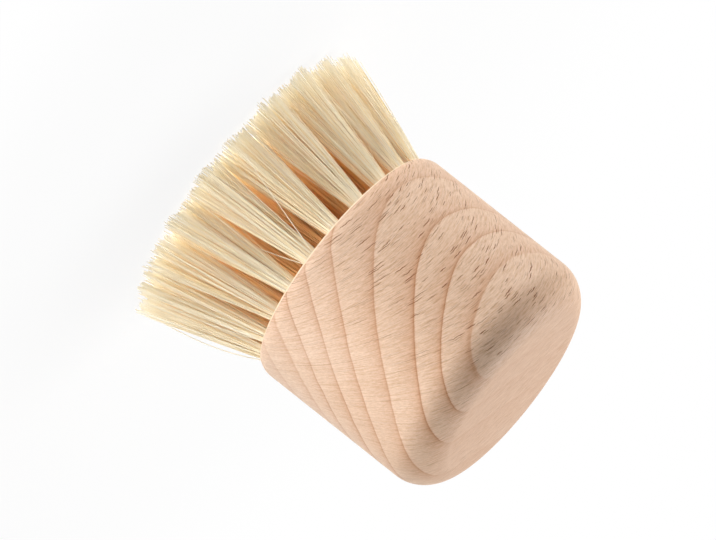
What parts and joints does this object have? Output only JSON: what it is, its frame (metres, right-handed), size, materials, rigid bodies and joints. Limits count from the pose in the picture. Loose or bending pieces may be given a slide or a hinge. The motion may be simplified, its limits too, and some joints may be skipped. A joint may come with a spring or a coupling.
{
  "type": "pot brush",
  "caption": "Round pot scrubbing brush: a palm-held turned wooden block with rounded end, and stiff plant-fibre tufts set in drilled holes and fanned outwards.",
  "frame": {"origin": "on the brush's axis, in the plane of the trimmed bristle tips that it stands on", "axes": "+Z along the brush's axis from the bristle tips to the handle end; -Y is the front, the side that the picture shows"},
  "size_m": [0.0668, 0.0668, 0.0715],
  "materials": {
    "beech": "sanded, unvarnished",
    "plant_fibre": "natural straight fibre",
    "anchor_wire": "flat drawn wire"
  },
  "bodies": {
    "root": {"handle_block": "beech", "tuft_centre": "plant_fibre", "tuft_inner_01": "plant_fibre", "tuft_inner_02": "plant_fibre", "tuft_inner_03": "plant_fibre", "tuft_inner_04": "plant_fibre", "tuft_inner_05": "plant_fibre", "tuft_inner_06": "plant_fibre", "tuft_middle_01": "plant_fibre", "tuft_middle_02": "plant_fibre", "tuft_middle_03": "plant_fibre", "tuft_middle_04": "plant_fibre", "tuft_middle_05": "plant_fibre", "tuft_middle_06": "plant_fibre", "tuft_middle_07": "plant_fibre", "tuft_middle_08": "plant_fibre", "tuft_middle_09": "plant_fibre", "tuft_middle_10": "plant_fibre", "tuft_middle_11": "plant_fibre", "tuft_middle_12": "plant_fibre", "tuft_outer_01": "plant_fibre", "tuft_outer_02": "plant_fibre", "tuft_outer_03": "plant_fibre", "tuft_outer_04": "plant_fibre", "tuft_outer_05": "plant_fibre", "tuft_outer_06": "plant_fibre", "tuft_outer_07": "plant_fibre", "tuft_outer_08": "plant_fibre", "tuft_outer_09": "plant_fibre", "tuft_outer_10": "plant_fibre", "tuft_outer_11": "plant_fibre", "tuft_outer_12": "plant_fibre", "tuft_outer_13": "plant_fibre", "tuft_outer_14": "plant_fibre", "tuft_outer_15": "plant_fibre", "tuft_outer_16": "plant_fibre", "tuft_outer_17": "plant_fibre", "tuft_outer_18": "plant_fibre", "tuft_outer_19": "plant_fibre", "tuft_outer_20": "plant_fibre", "anchor_outer_01": "anchor_wire", "anchor_outer_02": "anchor_wire", "anchor_outer_03": "anchor_wire", "anchor_outer_04": "anchor_wire", "anchor_outer_05": "anchor_wire", "anchor_outer_06": "anchor_wire", "anchor_outer_07": "anchor_wire", "anchor_outer_08": "anchor_wire", "anchor_outer_09": "anchor_wire", "anchor_outer_10": "anchor_wire", "anchor_outer_11": "anchor_wire", "anchor_outer_12": "anchor_wire", "anchor_outer_13": "anchor_wire", "anchor_outer_14": "anchor_wire", "anchor_outer_15": "anchor_wire", "anchor_outer_16": "anchor_wire", "anchor_outer_17": "anchor_wire", "anchor_outer_18": "anchor_wire", "anchor_outer_19": "anchor_wire", "anchor_outer_20": "anchor_wire"}
  },
  "joints": []
}
